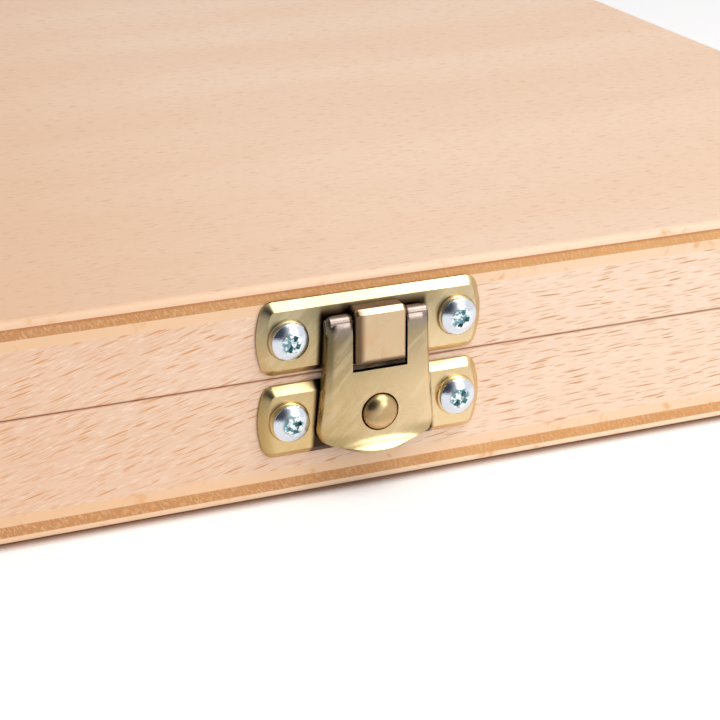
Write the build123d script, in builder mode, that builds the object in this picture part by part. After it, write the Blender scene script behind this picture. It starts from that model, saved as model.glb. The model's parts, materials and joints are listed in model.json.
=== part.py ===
from build123d import *
import os
from math import cos, radians, sin, sqrt

# A wooden watercolour paint box: a shallow beech base and a lid on two butt hinges, closed in
# front by a brass hasp latch. It holds a tray of half pans, a brush trough and a mixing palette.
# Origin at the centre of the underside, +X to the right along the front, +Y to the back, +Z up.

# Half pans and their paint
pans_per_row = 12
pan_w = 15.6
pan_l = 19.0
pan_h = 10.2
pan_wall = 0.8
pan_round = 1.2
pan_gap = 0.35
paint_below_rim = 0.8

# Pan tray
tray_wall = 0.8
tray_floor = 0.6
tray_h = 8.4
tray_rib = 1.6
row_play = 0.5
bay_gap = 0.5
liftout_gap = 0.2

# Brush trough and its two dividers
brush_bay = 28.0
divider_t = 4.0
divider_h = 6.5

# Mixing palette
palette_d = 89.8
palette_h = 8.6
palette_floor = 2.2
palette_rim = 3.0
palette_round = 3.0
palette_foot_gap = 0.2
mixing_wells = 3
mixing_well_d = 55.0
small_wells = 6
well_round = 5.0

# Wood
rail_t = 10.0
base_rail_h = 12.9
lid_rail_h = 8.9
seam_gap = 0.2
fingers = 3
corner_round = 1.2
edge_round = 1.0

# The three plies of each panel
face_ply_t = 1.1
core_ply_t = 1.5
inner_ply_t = 1.4

# Latch plates
plate_half_w = 15.9
plate_bulge = 1.1
plate_h = 10.1
plate_t = 1.4
plate_bevel = 1.05
plate_corner = 1.3
lid_plate_gap = 0.55
keeper_plate_gap = 0.9
land_r = 2.85
land_h = 0.55
land_taper = 12.0

# Latch screws
latch_screw_x = 11.92
latch_screw_rise = 5.68
latch_head_r = 2.65
latch_head_h = 1.4
latch_head_rim = 0.45
latch_shank_r = 1.2
latch_shank_l = 7.5
recess_w = 0.8
recess_l = 3.0
recess_depth = 0.9

# Tongue of the lid plate, folded over the hasp's crossbar
tongue_half_w = 3.6
tongue_t = 0.8
tongue_drop = 5.65
tongue_bevel = 0.55
hem_t = 0.8

# Hasp
pivot_out = 2.5
pivot_rise = 7.5
bar_r = 0.85
bar_clear = 0.05
hasp_face = 3.75
hasp_back = 1.75
hasp_t = 0.8
hasp_top_half_w = 7.15
hasp_mid_half_w = 7.65
hasp_low_half_w = 8.45
hasp_shoulder_drop = 0.35
hasp_mid_fall = 1.2
hasp_corner_fall = 8.65
hasp_side_round = 1.0
lip_fall = 7.95
lip_r = 2.6
lip_turn = 62.0
window_gap = 0.27
window_fall = 6.8

# Stud
stud_fall = 5.35
stud_r = 2.6
stud_neck_r = 2.4
stud_shank_r = 1.5
stud_neck_out = 3.0
stud_dome_out = 3.55
stud_h = 5.0
stud_hole_gap = 0.25

# Hinges
hinge_x = 62.0
leaf_w = 24.0
leaf_h = 8.0
leaf_t = 0.8
leaf_round = 1.0
knuckle_r = 1.6
knuckle_gap = 0.3
knuckle_side_gap = 0.15
mid_knuckle_l = 8.0
hinge_pin_r = 0.8
pin_clear = 0.03
pin_head_t = 0.4
hinge_screw_x = 8.0
hinge_screw_drop = 4.9
hinge_shank_r = 0.9
hinge_shank_l = 6.5
slot_w = 0.5
slot_depth = 0.4
thread_clear = 0.02

# Sizes worked out from those above
tray_w = pans_per_row * (pan_w + pan_gap) + 2 * tray_wall
tray_d = 2 * (pan_l + row_play) + tray_rib + 2 * tray_wall
inner_w = tray_w + 2 * bay_gap
inner_d = tray_d + 2 * bay_gap + brush_bay + 2 * divider_t + palette_d + 2 * bay_gap
box_w = inner_w + 2 * rail_t
box_d = inner_d + 2 * rail_t
panel_t = face_ply_t + core_ply_t + inner_ply_t
base_top = panel_t + base_rail_h
lid_bottom = base_top + seam_gap
seam_z = base_top + seam_gap / 2
ceiling_z = lid_bottom + lid_rail_h
box_h = ceiling_z + panel_t
front_y = -box_d / 2
back_y = box_d / 2
edge_r = min(edge_round, 0.9 * face_ply_t)

# Places along the depth of the base, from the front
tray_y = front_y + rail_t + bay_gap + tray_d / 2
front_divider_y = tray_y + tray_d / 2 + bay_gap + divider_t / 2
rear_divider_y = front_divider_y + divider_t + brush_bay
palette_y = rear_divider_y + divider_t / 2 + bay_gap + palette_d / 2
palette_w = inner_w - 2 * bay_gap

# Latch and hinge places
pivot_z = seam_z + pivot_rise
lid_plate_z = seam_z + lid_plate_gap + plate_h / 2
keeper_plate_z = seam_z - keeper_plate_gap - plate_h / 2
lid_screw_z = seam_z + latch_screw_rise
keeper_screw_z = seam_z - latch_screw_rise
stud_z = seam_z - stud_fall
stud_hole_r = stud_r + stud_hole_gap
pin_y = back_y + knuckle_r + knuckle_gap
hinge_head_r = hinge_shank_r + leaf_t

# Planes in front of the box: (x, z) seen from the front, and (distance out, z) seen from the side
latch_front = Plane(origin=(0, front_y, 0), x_dir=(1, 0, 0), z_dir=(0, -1, 0))
latch_side = Plane(origin=(0, front_y, 0), x_dir=(0, -1, 0), z_dir=(-1, 0, 0))
hinge_face = Plane(origin=(0, back_y, 0), x_dir=(1, 0, 0), z_dir=(0, -1, 0))

os.makedirs("parts", exist_ok=True)
pieces = []


def keep(piece, name):
    """Label a finished piece and write its file."""
    piece.label = name
    export_step(piece, f"parts/{name}.step")
    pieces.append(piece)


def upright_corners(piece):
    """The upright edges at the four outer corners of the box."""
    near = 0.01
    return [edge for edge in piece.edges().filter_by(Axis.Z)
            if abs(abs(edge.center().X) - box_w / 2) < near
            and abs(abs(edge.center().Y) - box_d / 2) < near]


def latch_screw_places(screw_z):
    """The two screw places of a latch plate on the front face."""
    return [(end * latch_screw_x, screw_z) for end in (-1, 1)]


def hinge_screw_places(leaf_side):
    """Screw places of both hinges on the back face, below (-1) or above (1) the seam."""
    return [(end * hinge_x + offset, seam_z + leaf_side * hinge_screw_drop)
            for end in (-1, 1) for offset in (-hinge_screw_x, hinge_screw_x)]


# Rails, joined at the corners by interlocking fingers
def long_rail(side, low_z, height, screw_places):
    """A front (side -1) or back (side 1) rail; it has the lowest and every second finger."""
    if side < 0:
        face, screw_r, depth = latch_front, latch_shank_r, -latch_shank_l
    else:
        face, screw_r, depth = hinge_face, hinge_shank_r, hinge_shank_l
    rail_y = side * (box_d - rail_t) / 2
    finger_h = height / fingers
    with BuildPart() as rail:
        with BuildSketch(Plane.XY.offset(low_z)):
            with Locations((0, rail_y)):
                Rectangle(box_w, rail_t)
        extrude(amount=height)
        for finger in range(1, fingers, 2):
            with BuildSketch(Plane.XY.offset(low_z + finger * finger_h)):
                with Locations(*[(end * (box_w - rail_t) / 2, rail_y) for end in (-1, 1)]):
                    Rectangle(rail_t, rail_t)
            extrude(amount=finger_h, mode=Mode.SUBTRACT)
        fillet(upright_corners(rail), radius=corner_round)
        with BuildSketch(face):
            with Locations(*screw_places):
                Circle(screw_r + thread_clear)
        extrude(amount=depth, mode=Mode.SUBTRACT)
    return rail.part


def short_rail(side, low_z, height):
    """A left (side -1) or right (side 1) rail; it has the fingers that the long rails leave."""
    rail_x = side * (box_w - rail_t) / 2
    finger_h = height / fingers
    with BuildPart() as rail:
        with BuildSketch(Plane.XY.offset(low_z)):
            with Locations((rail_x, 0)):
                Rectangle(rail_t, box_d)
        extrude(amount=height)
        for finger in range(0, fingers, 2):
            with BuildSketch(Plane.XY.offset(low_z + finger * finger_h)):
                with Locations(*[(rail_x, end * (box_d - rail_t) / 2) for end in (-1, 1)]):
                    Rectangle(rail_t, rail_t)
            extrude(amount=finger_h, mode=Mode.SUBTRACT)
        fillet(upright_corners(rail), radius=corner_round)
    return rail.part


keep(long_rail(-1, panel_t, base_rail_h, latch_screw_places(keeper_screw_z)), "base_front_rail")
keep(long_rail(1, panel_t, base_rail_h, hinge_screw_places(-1)), "base_back_rail")
keep(short_rail(-1, panel_t, base_rail_h), "base_left_rail")
keep(short_rail(1, panel_t, base_rail_h), "base_right_rail")
keep(long_rail(-1, lid_bottom, lid_rail_h, latch_screw_places(lid_screw_z)), "lid_front_rail")
keep(long_rail(1, lid_bottom, lid_rail_h, hinge_screw_places(1)), "lid_back_rail")
keep(short_rail(-1, lid_bottom, lid_rail_h), "lid_left_rail")
keep(short_rail(1, lid_bottom, lid_rail_h), "lid_right_rail")


# Plywood panels, one piece for each ply
def ply(low_z, thickness, sanded=None):
    """One ply; sanded picks the face whose edges are rounded over: 0 the lower, -1 the upper."""
    with BuildPart() as sheet:
        with BuildSketch(Plane.XY.offset(low_z)):
            Rectangle(box_w, box_d)
        extrude(amount=thickness)
        fillet(upright_corners(sheet), radius=corner_round)
        if sanded is not None:
            fillet(sheet.faces().filter_by(Axis.Z).sort_by(Axis.Z)[sanded].edges(), radius=edge_r)
    return sheet.part


keep(ply(0, face_ply_t, sanded=0), "bottom_face_ply")
keep(ply(face_ply_t, core_ply_t), "bottom_core_ply")
keep(ply(face_ply_t + core_ply_t, inner_ply_t), "bottom_inner_ply")
keep(ply(ceiling_z, inner_ply_t), "lid_inner_ply")
keep(ply(ceiling_z + inner_ply_t, core_ply_t), "lid_core_ply")
keep(ply(ceiling_z + inner_ply_t + core_ply_t, face_ply_t, sanded=-1), "lid_face_ply")


# Brush trough dividers, glued to the floor between the side rails
def divider(centre_y):
    """A low slat across the base."""
    with BuildPart() as slat:
        with BuildSketch(Plane.XY.offset(panel_t)):
            with Locations((0, centre_y)):
                Rectangle(inner_w, divider_t)
        extrude(amount=divider_h)
        fillet(slat.faces().sort_by(Axis.Z)[-1].edges().filter_by(Axis.X), radius=edge_round)
    return slat.part


keep(divider(front_divider_y), "front_divider")
keep(divider(rear_divider_y), "rear_divider")


# Latch plates
def plate(centre_z, screw_z):
    """A pressed plate with bowed ends, a bevel all round and a raised land under each screw."""
    corner_x = plate_half_w - plate_bulge
    low, high = centre_z - plate_h / 2, centre_z + plate_h / 2
    screws_at = latch_screw_places(screw_z)
    with BuildPart() as body:
        with BuildSketch(latch_front):
            with BuildLine():
                Line((-corner_x, high), (corner_x, high))
                ThreePointArc((corner_x, high), (plate_half_w, centre_z), (corner_x, low))
                Line((corner_x, low), (-corner_x, low))
                ThreePointArc((-corner_x, low), (-plate_half_w, centre_z), (-corner_x, high))
            make_face()
            fillet(vertices(), radius=plate_corner)
        extrude(amount=plate_t)
        chamfer(body.faces().sort_by(Axis.Y)[0].edges(), length=plate_bevel)
        with BuildSketch(latch_front.offset(plate_t)):
            with Locations(*screws_at):
                Circle(land_r)
        extrude(amount=land_h, taper=land_taper)
        with BuildSketch(latch_front):
            with Locations(*screws_at):
                Circle(latch_shank_r + thread_clear)
        extrude(amount=plate_t + land_h, mode=Mode.SUBTRACT)
    return body.part


tongue_in = pivot_out + bar_r + bar_clear
tongue_out = tongue_in + tongue_t
tongue_under = pivot_z + bar_r + bar_clear
tongue_top = tongue_under + tongue_t
tongue_low = pivot_z - tongue_drop
hem_top = pivot_z - bar_r - 2 * bar_clear

with BuildPart() as lid_plate:
    add(plate(lid_plate_z, lid_screw_z))
    with BuildSketch(latch_side):
        with BuildLine():
            Polyline((0, tongue_top), (tongue_out, tongue_top), (tongue_out, tongue_low),
                     (tongue_in - hem_t, tongue_low), (tongue_in - hem_t, hem_top), (tongue_in, hem_top),
                     (tongue_in, tongue_under), (0, tongue_under), (0, tongue_top))
        make_face()
    extrude(amount=tongue_half_w, both=True)
    tongue_front = lid_plate.faces().filter_by(Axis.Y).sort_by(Axis.Y)[0]
    chamfer(tongue_front.edges().filter_by(Axis.Z) + tongue_front.edges().group_by(Axis.Z)[-1],
            length=tongue_bevel)
keep(lid_plate.part, "latch_lid_plate")

with BuildPart() as keeper_plate:
    add(plate(keeper_plate_z, keeper_screw_z))
    with BuildSketch(latch_front):
        with Locations((0, stud_z)):
            Circle(stud_shank_r + thread_clear)
    extrude(amount=plate_t, mode=Mode.SUBTRACT)
keep(keeper_plate.part, "latch_keeper_plate")

# Stud: riveted in the keeper plate, with a dome that the hasp's hole passes over
stud_plane = Plane(origin=(0, front_y, stud_z), x_dir=(1, 0, 0), z_dir=(0, 0, -1))
with BuildPart() as stud:
    with BuildSketch(stud_plane):
        with BuildLine():
            Polyline((0, stud_h), (0, 0), (stud_shank_r, 0), (stud_shank_r, plate_t),
                     (stud_neck_r, plate_t), (stud_neck_r, stud_neck_out), (stud_r, stud_dome_out))
            TangentArc((0, stud_h), (stud_r, stud_dome_out), tangent=(1, 0))
        make_face()
    revolve(axis=Axis((0, front_y, stud_z), (0, 1, 0)))
keep(stud.part, "latch_stud")


# Latch screws: pan heads with a cross recess, two in each plate
def latch_screws(screw_z):
    """The two screws of one plate."""
    seat = plate_t + land_h
    rim = seat + latch_head_rim
    with BuildPart() as screws:
        for end in (-1, 1):
            place = (end * latch_screw_x, front_y, screw_z)
            with BuildSketch(Plane(origin=place, x_dir=(1, 0, 0), z_dir=(0, 0, -1))):
                with BuildLine():
                    Polyline((0, seat + latch_head_h), (0, -latch_shank_l),
                             (latch_shank_r / 2, -latch_shank_l),
                             (latch_shank_r, latch_shank_r - latch_shank_l), (latch_shank_r, seat),
                             (latch_head_r, seat), (latch_head_r, rim))
                    TangentArc((0, seat + latch_head_h), (latch_head_r, rim), tangent=(1, 0))
                make_face()
            revolve(axis=Axis(place, (0, 1, 0)))
        with BuildSketch(latch_front.offset(seat + latch_head_h - recess_depth)):
            with Locations(*latch_screw_places(screw_z)):
                Rectangle(recess_w, recess_l)
                Rectangle(recess_l, recess_w)
        extrude(amount=recess_depth, mode=Mode.SUBTRACT)
    return screws.part


keep(latch_screws(lid_screw_z), "lid_plate_screws")
keep(latch_screws(keeper_screw_z), "keeper_plate_screws")


# Hasp: a dished sheet with its sides turned back, hung on a crossbar behind the tongue
lip_start = seam_z - lip_fall
lip_low = lip_start - lip_r * sin(radians(lip_turn))
shoulder_r = hasp_face - pivot_out
shoulder_z = pivot_z - hasp_shoulder_drop
shoulder_back_z = shoulder_z + sqrt(shoulder_r ** 2 - (pivot_out - hasp_back) ** 2)
hasp_top = shoulder_z + shoulder_r
hasp_corner_z = seam_z - hasp_corner_fall
hasp_mid_z = seam_z - hasp_mid_fall
past_edge = 2.0
past_turn = 8.0


def hasp_form(skin, back, back_z, low_drop):
    """The space inside the hasp's outer faces (skin 0), or the hollow a skin's thickness behind them."""
    face, crown_r, flare_r = hasp_face - skin, shoulder_r - skin, lip_r + skin
    top_x, mid_x, low_x = [x - skin for x in (hasp_top_half_w, hasp_mid_half_w, hasp_low_half_w)]
    crown = (pivot_out, shoulder_z + crown_r)
    slope = crown_r * sin(radians(45))

    def flare(turn):
        return (hasp_face + lip_r - flare_r * cos(radians(turn)), lip_start - flare_r * sin(radians(turn)))

    lip_past = lip_turn + past_turn
    lip_end = flare(lip_past)
    corner_z, low_z = hasp_corner_z - low_drop, lip_low - low_drop
    with BuildPart() as form:
        with BuildSketch(latch_side):
            with BuildLine():
                Polyline(lip_end, (back, lip_end[1]), (back, back_z), crown)
                ThreePointArc(crown, (pivot_out + slope, shoulder_z + slope), (face, shoulder_z))
                Line((face, shoulder_z), (face, lip_start))
                ThreePointArc((face, lip_start), flare(lip_past / 2), lip_end)
            make_face()
        extrude(amount=hasp_low_half_w + past_edge, both=True)
        with BuildSketch(latch_front):
            with BuildLine():
                Line((-top_x, hasp_top), (top_x, hasp_top))
                ThreePointArc((top_x, hasp_top), (mid_x, hasp_mid_z), (low_x, corner_z))
                ThreePointArc((low_x, corner_z), (0, low_z), (-low_x, corner_z))
                ThreePointArc((-low_x, corner_z), (-mid_x, hasp_mid_z), (-top_x, hasp_top))
            make_face()
        extrude(amount=hasp_face + lip_r, mode=Mode.INTERSECT)
        if skin == 0:
            front = form.faces().filter_by(GeomType.PLANE).filter_by(Axis.Y).sort_by(Axis.Y)[0]
            sides = [edge for edge in front.edges() if edge.geom_type != GeomType.LINE]
            fillet(sides, radius=hasp_side_round)
    return form.part


window_half_w = tongue_half_w + window_gap
window_low = pivot_z - window_fall
with BuildPart() as hasp:
    add(hasp_form(0, hasp_back, shoulder_back_z, 0))
    add(hasp_form(hasp_t, 0, hasp_top - hasp_t, past_edge), mode=Mode.SUBTRACT)
    with BuildSketch(latch_front):
        with Locations((0, (window_low + hasp_top) / 2 + past_edge / 2)):
            Rectangle(2 * window_half_w, hasp_top - window_low + past_edge)
        with Locations((0, stud_z)):
            Circle(stud_hole_r)
    extrude(amount=hasp_face + lip_r, mode=Mode.SUBTRACT)
    with BuildSketch(latch_side):
        with Locations((pivot_out, pivot_z)):
            Circle(bar_r)
    extrude(amount=hasp_top_half_w - hasp_t / 2, both=True)
keep(hasp.part, "latch_hasp")


# Hinges: a base and a lid leaf on the back face, with a loose pin through three knuckles
def hinge_leaf(centre_x, side):
    """A base leaf (side -1) has the middle knuckle, a lid leaf (side 1) the two outer ones."""
    outer_l = (leaf_w - mid_knuckle_l) / 2 - knuckle_side_gap
    outer_x = (leaf_w - outer_l) / 2
    mid, outer = [(0, mid_knuckle_l)], [(-outer_x, outer_l), (outer_x, outer_l)]
    own, other = (mid, outer) if side < 0 else (outer, mid)
    screw_z = seam_z + side * hinge_screw_drop
    with BuildPart() as leaf:
        with BuildSketch(hinge_face):
            with Locations((centre_x, seam_z + side * leaf_h / 2)):
                Rectangle(leaf_w, leaf_h)
            fillet(vertices().group_by(Axis.Z)[0 if side < 0 else -1], radius=leaf_round)
        extrude(amount=-leaf_t)
        for x, length in other:
            with BuildSketch(Plane.YZ.offset(centre_x + x)):
                with Locations((pin_y, seam_z)):
                    Circle(knuckle_r + knuckle_gap)
                with Locations((pin_y, seam_z - side * (knuckle_r + knuckle_gap) / 2)):
                    Rectangle(2 * (pin_y - back_y), knuckle_r + knuckle_gap)
            extrude(amount=length / 2 + knuckle_side_gap, both=True, mode=Mode.SUBTRACT)
        for x, length in own:
            with BuildSketch(Plane.YZ.offset(centre_x + x)):
                with Locations((pin_y, seam_z)):
                    Circle(knuckle_r)
            extrude(amount=length / 2, both=True)
        with BuildSketch(Plane.YZ.offset(centre_x)):
            with Locations((pin_y, seam_z)):
                Circle(hinge_pin_r + pin_clear)
        extrude(amount=leaf_w / 2, both=True, mode=Mode.SUBTRACT)
        for offset in (-hinge_screw_x, hinge_screw_x):
            face = Plane(origin=(centre_x + offset, back_y + leaf_t, screw_z), z_dir=(0, 1, 0))
            with Locations(face):
                CounterSinkHole(hinge_shank_r + thread_clear, hinge_head_r + thread_clear, depth=leaf_t)
    return leaf.part


def hinge_pin(centre_x):
    """A straight pin with a thin head at each end."""
    with BuildPart() as pin:
        with BuildSketch(Plane.YZ.offset(centre_x)):
            with Locations((pin_y, seam_z)):
                Circle(hinge_pin_r)
        extrude(amount=leaf_w / 2 + knuckle_side_gap, both=True)
        for end in (-1, 1):
            head_x = centre_x + end * (leaf_w / 2 + knuckle_side_gap)
            with BuildSketch(Plane.YZ.offset(head_x)):
                with Locations((pin_y, seam_z)):
                    Circle((hinge_pin_r + knuckle_r) / 2)
            extrude(amount=end * pin_head_t)
    return pin.part


def hinge_screws(leaf_side):
    """The countersunk screws of both hinges' base (-1) or lid (1) leaves."""
    with BuildPart() as screws:
        for x, z in hinge_screw_places(leaf_side):
            place = (x, back_y, z)
            with BuildSketch(Plane(origin=place, x_dir=(1, 0, 0), z_dir=(0, 0, 1))):
                with BuildLine():
                    Polyline((0, leaf_t), (0, -hinge_shank_l), (hinge_shank_r / 2, -hinge_shank_l),
                             (hinge_shank_r, hinge_shank_r - hinge_shank_l), (hinge_shank_r, 0),
                             (hinge_head_r, leaf_t), (0, leaf_t))
                make_face()
            revolve(axis=Axis(place, (0, 1, 0)))
        with BuildSketch(hinge_face.offset(-leaf_t)):
            with Locations(*hinge_screw_places(leaf_side)):
                Rectangle(2 * hinge_head_r, slot_w)
        extrude(amount=slot_depth, mode=Mode.SUBTRACT)
    return screws.part


for end, side_name in ((-1, "left"), (1, "right")):
    keep(hinge_leaf(end * hinge_x, -1), f"{side_name}_hinge_base_leaf")
    keep(hinge_leaf(end * hinge_x, 1), f"{side_name}_hinge_lid_leaf")
    keep(hinge_pin(end * hinge_x), f"{side_name}_hinge_pin")
keep(hinge_screws(-1), "base_hinge_screws")
keep(hinge_screws(1), "lid_hinge_screws")


# Pan tray with two rows of half pans, each filled with its own colour
tray_bottom = panel_t + liftout_gap
pan_bottom = tray_bottom + tray_floor
pitch = pan_w + pan_gap
row_offset = (pan_l + row_play + tray_rib) / 2
rows = {"front": tray_y - row_offset, "back": tray_y + row_offset}
with BuildPart() as tray:
    with BuildSketch(Plane.XY.offset(tray_bottom)):
        with Locations((0, tray_y)):
            Rectangle(tray_w, tray_d)
    extrude(amount=tray_h)
    fillet(tray.edges().filter_by(Axis.Z), radius=pan_round)
    with BuildSketch(Plane.XY.offset(pan_bottom)):
        with Locations(*[(0, row_y) for row_y in rows.values()]):
            Rectangle(tray_w - 2 * tray_wall, pan_l + row_play)
    extrude(amount=tray_h, mode=Mode.SUBTRACT)
keep(tray.part, "pan_tray")


def pan_places(row_y):
    """The centres of one row of pans."""
    return [((index - (pans_per_row - 1) / 2) * pitch, row_y) for index in range(pans_per_row)]


for row_name, row_y in rows.items():
    with BuildPart() as pans:
        with BuildSketch(Plane.XY.offset(pan_bottom)):
            with Locations(*pan_places(row_y)):
                RectangleRounded(pan_w, pan_l, pan_round)
        extrude(amount=pan_h)
        with BuildSketch(Plane.XY.offset(pan_bottom + pan_wall)):
            with Locations(*pan_places(row_y)):
                RectangleRounded(pan_w - 2 * pan_wall, pan_l - 2 * pan_wall, pan_round - pan_wall)
        extrude(amount=pan_h, mode=Mode.SUBTRACT)
    keep(pans.part, f"{row_name}_row_pans")

front_paints = ["lemon_yellow", "golden_yellow", "orange", "vermilion", "scarlet", "carmine",
                "rose_madder", "violet", "ultramarine", "cobalt_blue", "azure_blue", "turquoise"]
back_paints = ["emerald_green", "grass_green", "olive_green", "yellow_ochre", "raw_sienna", "burnt_sienna",
               "red_oxide", "raw_umber", "sepia", "indigo", "neutral_grey", "lamp_black"]
paint_h = pan_h - pan_wall - paint_below_rim
for paints, row_y in ((front_paints, rows["front"]), (back_paints, rows["back"])):
    for colour, place in zip(paints, pan_places(row_y)):
        with BuildPart() as paint:
            with BuildSketch(Plane.XY.offset(pan_bottom + pan_wall)):
                with Locations(place):
                    RectangleRounded(pan_w - 2 * pan_wall, pan_l - 2 * pan_wall, pan_round - pan_wall)
            extrude(amount=paint_h)
        keep(paint.part, f"paint_{colour}")

# Mixing palette: large wells in front of a row of small ones
palette_bottom = panel_t + palette_foot_gap
well_z = palette_bottom + palette_floor
well_h = palette_h - palette_floor
mixing_w = (palette_w - (mixing_wells + 1) * palette_rim) / mixing_wells
small_w = (palette_w - (small_wells + 1) * palette_rim) / small_wells
small_d = palette_d - 3 * palette_rim - mixing_well_d
mixing_y = palette_y - palette_d / 2 + palette_rim + mixing_well_d / 2
small_y = palette_y + palette_d / 2 - palette_rim - small_d / 2


def well_places(count, width, centre_y):
    """The centres of one row of wells."""
    return [((index - (count - 1) / 2) * (width + palette_rim), centre_y) for index in range(count)]


with BuildPart() as palette:
    with BuildSketch(Plane.XY.offset(palette_bottom)):
        with Locations((0, palette_y)):
            RectangleRounded(palette_w, palette_d, palette_round)
    extrude(amount=palette_h)
    with BuildSketch(Plane.XY.offset(well_z)):
        with Locations(*well_places(mixing_wells, mixing_w, mixing_y)):
            RectangleRounded(mixing_w, mixing_well_d, well_round)
        with Locations(*well_places(small_wells, small_w, small_y)):
            RectangleRounded(small_w, small_d, well_round)
    extrude(amount=well_h, mode=Mode.SUBTRACT)
    fillet(palette.faces().sort_by(Axis.Z)[-1].edges(), radius=edge_round)
keep(palette.part, "mixing_palette")

print("box", round(box_w, 2), round(box_d, 2), round(box_h, 2))
print("seam", round(seam_z, 2), len(pieces), "pieces")
print("pivot", round(front_y - pivot_out, 3), round(pivot_z, 3), "pin", round(pin_y, 3), round(seam_z, 3))
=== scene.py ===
import json
from math import cos, exp, pi, radians, sin, sqrt

import bmesh
import bpy
from mathutils import Matrix, Vector


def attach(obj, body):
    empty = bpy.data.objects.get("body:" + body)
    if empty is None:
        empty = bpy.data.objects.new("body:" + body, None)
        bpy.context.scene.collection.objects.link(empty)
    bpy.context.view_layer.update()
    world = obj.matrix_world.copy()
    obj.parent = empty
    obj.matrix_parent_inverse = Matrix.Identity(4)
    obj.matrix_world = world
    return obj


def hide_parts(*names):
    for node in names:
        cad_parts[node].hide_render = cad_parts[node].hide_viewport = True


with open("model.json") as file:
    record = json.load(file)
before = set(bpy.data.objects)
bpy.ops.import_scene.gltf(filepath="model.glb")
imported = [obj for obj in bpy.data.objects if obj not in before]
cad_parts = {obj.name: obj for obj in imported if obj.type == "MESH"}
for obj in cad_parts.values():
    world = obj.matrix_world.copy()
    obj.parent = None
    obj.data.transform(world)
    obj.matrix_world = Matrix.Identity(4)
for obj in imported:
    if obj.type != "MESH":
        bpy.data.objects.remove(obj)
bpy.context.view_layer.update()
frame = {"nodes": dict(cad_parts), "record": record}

# A wooden watercolour paint box with a brass hasp latch, in metres, in the CAD's frame: X to the
# right along the front, Y to the back, Z up. Lengths below are written in millimetres.
MM = 0.001
NEAR = 1e-7
FRONT = -95.0
SEAM = 17.0

# Latch sizes: heights are above the table; OUT, IN, FACE, BACK and SEAT are distances out of the front
PLATE_HALF_W, PLATE_BULGE, PLATE_H, PLATE_T = 15.9, 1.1, 10.1, 1.4
PLATE_BEVEL, PLATE_CORNER = 1.05, 1.12
LAND_R, LAND_H, LAND_ROUND = 2.85, 0.55, 0.35
SHANK_R = 1.2
LAND_BORE = SHANK_R + 0.1
SCREW_X, SCREW_FROM_SEAM = 11.92, 5.68
LID_SCREW_Z, KEEPER_SCREW_Z = SEAM + SCREW_FROM_SEAM, SEAM - SCREW_FROM_SEAM
LID_PLATE_Z, KEEPER_PLATE_Z = 22.6, 11.05
TONGUE_HALF_W, TONGUE_ROOT, TONGUE_IN, TONGUE_OUT = 3.6, 0.6, 3.4, 4.2
TONGUE_UNDER, TONGUE_TOP, TONGUE_LOW = 25.4, 26.2, 18.85
TONGUE_BEVEL, TONGUE_ROUND, TONGUE_FOOT_ROUND = 0.62, 0.6, 0.3
HEM_IN, HEM_TOP = 2.6, 23.55
STUD_Z, STUD_R, STUD_NECK, STUD_HOLE_R = 11.65, 2.5, 2.3, 2.64
HEAD_R, HEAD_H, RIM_H, SEAT, RECESS_R = 2.55, 1.35, 0.45, 1.95, 1.5
FACE, BACK, SHEET = 3.75, 1.75, 0.8
PLATE_Y, HASP_Y, TONGUE_Y = FRONT - PLATE_T, FRONT - FACE, FRONT - TONGUE_OUT
LID_BEVEL_Z = LID_PLATE_Z + PLATE_H / 2 - PLATE_BEVEL


# Small helpers for meshes
def at_front(x, out, z):
    """A point in front of the box, from millimetres: across, out of the front face and up."""
    return Vector((x * MM, (FRONT - out) * MM, z * MM))


def placed(bm, name):
    """An object made of a mesh, at the origin."""
    mesh = bpy.data.meshes.new(name)
    bm.to_mesh(mesh)
    bm.free()
    made = bpy.data.objects.new(name, mesh)
    bpy.context.scene.collection.objects.link(made)
    return made


def modify(piece, kind, settings):
    modifier = piece.modifiers.new(kind.lower(), kind)
    for key, value in settings.items():
        setattr(modifier, key, value)


def finished(bm, name, body, material, stands_for, crisp, modifiers=()):
    """Makes a piece of a mesh, applies its modifiers, keeps edges past the crisp angle sharp and lets
    it ride on its body."""
    piece = placed(bm, name)
    for kind, settings in modifiers:
        modify(piece, kind, settings)
    if modifiers:
        bpy.context.view_layer.update()
        shaped = piece.evaluated_get(bpy.context.evaluated_depsgraph_get())
        final = bpy.data.meshes.new_from_object(shaped)
        piece.modifiers.clear()
        draft = piece.data
        piece.data = final
        bpy.data.meshes.remove(draft)
        final.name = name
    for kind, settings in modifiers:
        if kind == "BOOLEAN":
            bpy.data.objects.remove(settings["object"])
    piece.data.materials.clear()
    piece.data.materials.append(material)
    piece.data.shade_smooth()
    piece.data.set_sharp_from_angle(angle=radians(crisp))
    flat_faces = piece.modifiers.new("flat_faces", "WEIGHTED_NORMAL")
    flat_faces.keep_sharp = True
    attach(piece, body)
    if stands_for:
        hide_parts(*stands_for)


def cutter(bm, name):
    """A hidden shape for a Boolean modifier; the piece that it is cut from removes it once finished."""
    shape = placed(bm, name)
    shape.hide_render = True
    return shape


def cut(shape, **settings):
    """The modifier that takes a cutter's shape away."""
    return ("BOOLEAN", {"object": shape, "operation": "DIFFERENCE", "solver": "EXACT", **settings})


def softened(width, segments, angle, harden=False):
    """The modifier that rounds the edges past an angle."""
    return ("BEVEL", {"width": width * MM, "segments": segments, "limit_method": "ANGLE",
                      "angle_limit": radians(angle), "harden_normals": harden})


def block(bm, low, high):
    """A block between two corners, in millimetres."""
    verts = bmesh.ops.create_cube(bm, size=1)["verts"]
    size = Vector(high) - Vector(low)
    bmesh.ops.scale(bm, vec=size * MM, verts=verts)
    bmesh.ops.translate(bm, vec=(Vector(low) + Vector(high)) / 2 * MM, verts=verts)


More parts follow.
